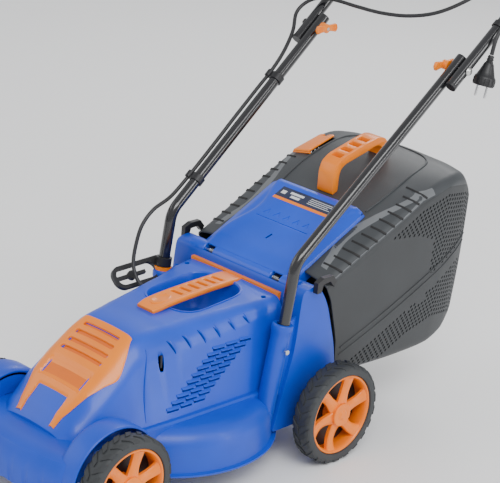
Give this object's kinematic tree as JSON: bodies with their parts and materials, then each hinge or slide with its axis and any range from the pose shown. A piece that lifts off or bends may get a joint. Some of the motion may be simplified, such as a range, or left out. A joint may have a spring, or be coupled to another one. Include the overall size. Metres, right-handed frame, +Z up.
{
  "type": "electric rotary lawn mower",
  "caption": "Corded rotary lawn mower with a moulded deck on four wheels, belt-driven blade, lift-off grass box, rear flap and folding push handle with a bail switch.",
  "frame": {"origin": "on the ground, under the middle of the mower's bounding box", "axes": "+Z up, -Y towards the front bumper, +X towards the operator's left"},
  "size_m": [0.416, 1.2856, 0.9972],
  "materials": {
    "deck_blue": "satin moulded shell",
    "hood_blue": "satin moulded shell",
    "orange_plastic": "satin moulded plastic",
    "tyre_grey": "moulded plastic tyre",
    "black_enamel": "gloss black enamel on steel tube",
    "black_plastic": "fine grained black plastic",
    "bail_coating": "black coated steel wire",
    "cable_black": "smooth cable sheath",
    "zinc_steel": "zinc plated",
    "bright_steel": "ground steel",
    "blade_steel": "dark coated spring steel",
    "grey_casting": "as cast",
    "motor_black": "glass filled plastic",
    "copper_winding": "varnished copper windings on a steel stack",
    "rotor_steel": "laminated steel and varnished copper",
    "pulley_black": "glass filled plastic",
    "belt_rubber": "ribbed drive belt",
    "lid_grey": "fine grained polypropylene",
    "basket_grey": "fine grained polypropylene",
    "button_red": "moulded push button"
  },
  "bodies": {
    "chassis": {"deck": "deck_blue", "hood": "hood_blue", "front_grille": "orange_plastic", "carry_handle": "orange_plastic", "rear_trim": "orange_plastic", "hinge_rod": "zinc_steel", "lower_tube_left": "black_enamel", "lower_tube_right": "black_enamel", "tube_screws": "zinc_steel", "hood_screws": "zinc_steel", "cord_hook": "black_plastic", "hook_bracket": "orange_plastic", "cable_clips": "black_plastic", "bearing_plate": "grey_casting", "bearings": "bright_steel", "motor_can": "motor_black", "motor_stator": "copper_winding", "drive_belt": "belt_rubber", "motor_cable": "cable_black"},
    "front_axle_set": {"front_axle": "zinc_steel"},
    "rear_axle_set": {"rear_axle": "zinc_steel"},
    "front_left_wheel": {"front_left_tyre": "tyre_grey", "front_left_rim": "orange_plastic", "front_left_cap": "orange_plastic"},
    "front_right_wheel": {"front_right_tyre": "tyre_grey", "front_right_rim": "orange_plastic", "front_right_cap": "orange_plastic"},
    "rear_left_wheel": {"rear_left_tyre": "tyre_grey", "rear_left_rim": "orange_plastic", "rear_left_cap": "orange_plastic"},
    "rear_right_wheel": {"rear_right_tyre": "tyre_grey", "rear_right_rim": "orange_plastic", "rear_right_cap": "orange_plastic"},
    "blade_rotor": {"spindle": "bright_steel", "driven_pulley": "pulley_black", "blade_adaptor": "pulley_black", "blade": "blade_steel", "blade_bolt": "zinc_steel"},
    "motor_rotor": {"armature": "rotor_steel", "drive_pulley": "pulley_black"},
    "flap": {"rear_flap": "hood_blue", "flap_springs": "zinc_steel"},
    "grass_box": {"box_lid": "lid_grey", "box_basket": "basket_grey", "box_handle": "orange_plastic", "box_hooks": "black_plastic"},
    "level_indicator": {"level_flap": "orange_plastic"},
    "push_handle": {"upper_handle": "black_enamel", "tube_caps": "black_plastic", "handle_bolts": "zinc_steel", "switch_box": "black_plastic", "bail_bracket": "black_plastic", "tail_clips": "black_plastic", "tail_cord": "cable_black", "plug_body": "cable_black", "plug_pins": "bright_steel"},
    "bail": {"bail_lever": "bail_coating"},
    "start_button": {"safety_button": "button_red"},
    "left_knob": {"wing_knob_left": "orange_plastic"},
    "right_knob": {"wing_knob_right": "orange_plastic"}
  },
  "joints": [
    {"name": "front_cut_height", "type": "slide", "parent": "chassis", "child": "front_axle_set", "axis": [0, 0, 1], "range_m": [0, 0.031]},
    {"name": "rear_cut_height", "type": "slide", "parent": "chassis", "child": "rear_axle_set", "axis": [0, 0, 1], "range_m": [0, 0.031]},
    {"name": "front_left_roll", "type": "hinge", "parent": "front_axle_set", "child": "front_left_wheel", "pos_m": [0, -0.5368, 0.081], "axis": [1, 0, 0], "continuous": true},
    {"name": "rear_left_roll", "type": "hinge", "parent": "rear_axle_set", "child": "rear_left_wheel", "pos_m": [0, -0.09879, 0.085], "axis": [1, 0, 0], "continuous": true},
    {"name": "front_right_roll", "type": "hinge", "parent": "front_axle_set", "child": "front_right_wheel", "pos_m": [0, -0.5368, 0.081], "axis": [1, 0, 0], "continuous": true},
    {"name": "rear_right_roll", "type": "hinge", "parent": "rear_axle_set", "child": "rear_right_wheel", "pos_m": [0, -0.09879, 0.085], "axis": [1, 0, 0], "continuous": true},
    {"name": "blade_spin", "type": "hinge", "parent": "chassis", "child": "blade_rotor", "pos_m": [0, -0.31079, 0.1], "axis": [0, 0, 1], "continuous": true},
    {"name": "motor_spin", "type": "hinge", "parent": "chassis", "child": "motor_rotor", "pos_m": [0, -0.42879, 0.18], "axis": [0, 0, 1], "continuous": true},
    {"name": "flap_lift", "type": "hinge", "parent": "chassis", "child": "flap", "pos_m": [0, -0.1388, 0.287], "axis": [1, 0, 0], "range_deg": [0, 70], "stiffness_Nm_per_rad": 0.15, "springref_deg": -100.27, "deforming": ["flap_springs"]},
    {"name": "box_lift_off", "type": "slide", "parent": "chassis", "child": "grass_box", "axis": [0, 0.9397, 0.342], "range_m": [0, 0.42]},
    {"name": "level_flap_lift", "type": "hinge", "parent": "grass_box", "child": "level_indicator", "pos_m": [-0.122, 0.11321, 0.4055], "axis": [0.9744, -0.0582, 0.2173], "range_deg": [0, 35]},
    {"name": "handle_fold", "type": "hinge", "parent": "chassis", "child": "push_handle", "pos_m": [0, 0.15738, 0.61979], "axis": [1, 0, 0], "range_deg": [0, 160], "deforming": ["motor_cable"]},
    {"name": "bail_pull", "type": "hinge", "parent": "push_handle", "child": "bail", "pos_m": [0, 0.51043, 0.88619], "axis": [1, 0, 0], "range_deg": [0, 23], "stiffness_Nm_per_rad": 0.6, "springref_deg": -28.65},
    {"name": "button_press", "type": "slide", "parent": "push_handle", "child": "start_button", "axis": [0, 0.6361, -0.7716], "range_m": [0, 0.004], "stiffness_N_per_m": 400, "springref_m": -0.003},
    {"name": "left_knob_turn", "type": "hinge", "parent": "push_handle", "child": "left_knob", "pos_m": [0, 0.15738, 0.61979], "axis": [1, 0, 0], "continuous": true},
    {"name": "right_knob_turn", "type": "hinge", "parent": "push_handle", "child": "right_knob", "pos_m": [0, 0.15738, 0.61979], "axis": [1, 0, 0], "continuous": true}
  ],
  "couplings": [
    {"joint": "motor_spin", "follows": "blade_spin", "ratio": 3.6471}
  ]
}
